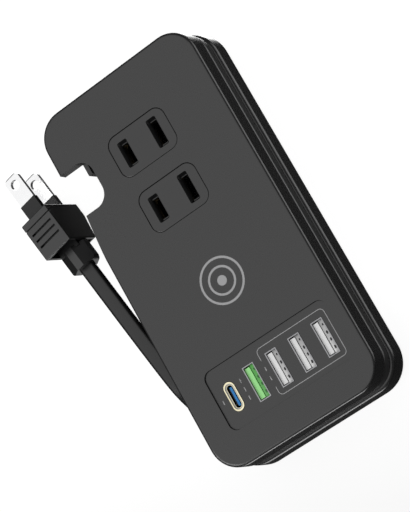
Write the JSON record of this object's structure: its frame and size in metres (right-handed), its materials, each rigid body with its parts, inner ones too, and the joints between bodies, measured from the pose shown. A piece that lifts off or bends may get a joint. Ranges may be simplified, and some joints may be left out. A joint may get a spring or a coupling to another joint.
{
  "type": "travel power strip with wrap-around lead",
  "caption": "Pocket power strip with flat-blade outlets, USB ports and a flat mains lead wound round its waist; the lead's plug parks in a notch.",
  "frame": {"origin": "middle of the case's flat back, on the surface it lies on", "axes": "+Z out of the face, +Y along the case towards the outlets' end, +X towards the side away from the parking notch"},
  "size_m": [0.0882, 0.1374, 0.0244],
  "materials": {
    "case_plastic": "fine-grained satin black",
    "socket_plastic": "satin black",
    "cord_jacket": "smooth satin PVC jacket",
    "contact_brass": "bright",
    "contact_gold": "gold plated",
    "port_trim": "pale gold",
    "port_steel": "nickel plated",
    "blue_plastic": "satin",
    "green_plastic": "satin",
    "white_plastic": "satin",
    "board": "solder mask",
    "part_dark": "moulded",
    "part_blue": "sleeved",
    "wire_jacket": "extruded",
    "screw_steel": "dark zinc",
    "plug_rubber": "moulded PVC with a satin skin",
    "sleeve_plastic": "satin black",
    "blade_plate": "nickel plated brass"
  },
  "bodies": {
    "case": {"front_cover": "case_plastic", "back_cover": "case_plastic", "waist_frame": "case_plastic", "outlet_insert_1": "socket_plastic", "outlet_insert_2": "socket_plastic", "usb_panel": "socket_plastic", "blade_dock": "socket_plastic", "cord_gland": "cord_jacket", "neutral_strip": "contact_brass", "live_strip": "contact_brass", "usb_a_pins": "contact_gold", "usb_c_trim_ring": "port_trim", "usb_c_shell": "port_steel", "usb_c_tongue": "blue_plastic", "main_board": "board", "transformer": "part_dark", "filter_capacitors": "part_blue", "surge_varistor": "part_blue", "thermal_fuse": "white_plastic", "bridge_rectifier": "part_dark", "output_choke": "part_dark", "control_chips": "part_dark", "inner_wires": "wire_jacket", "cover_screws": "screw_steel", "cord_wrap": "cord_jacket", "usb_a_shell_1": "port_steel", "usb_a_tongue_1": "green_plastic", "usb_a_shell_2": "port_steel", "usb_a_tongue_2": "white_plastic", "usb_a_shell_3": "port_steel", "usb_a_tongue_3": "white_plastic", "usb_a_shell_4": "port_steel", "usb_a_tongue_4": "white_plastic"},
    "lead": {"cord_free": "cord_jacket", "plug_body": "plug_rubber", "plug_collar": "plug_rubber", "plug_blade_1": "blade_plate", "plug_blade_2": "blade_plate", "blade_sleeve_1": "sleeve_plastic", "blade_sleeve_2": "sleeve_plastic"}
  },
  "joints": [
    {"name": "lead_swing", "type": "hinge", "parent": "case", "child": "lead", "pos_m": [-0.03295, -0.0536, 0.013], "axis": [0, 0, 1], "range_deg": [-4, 80]}
  ]
}
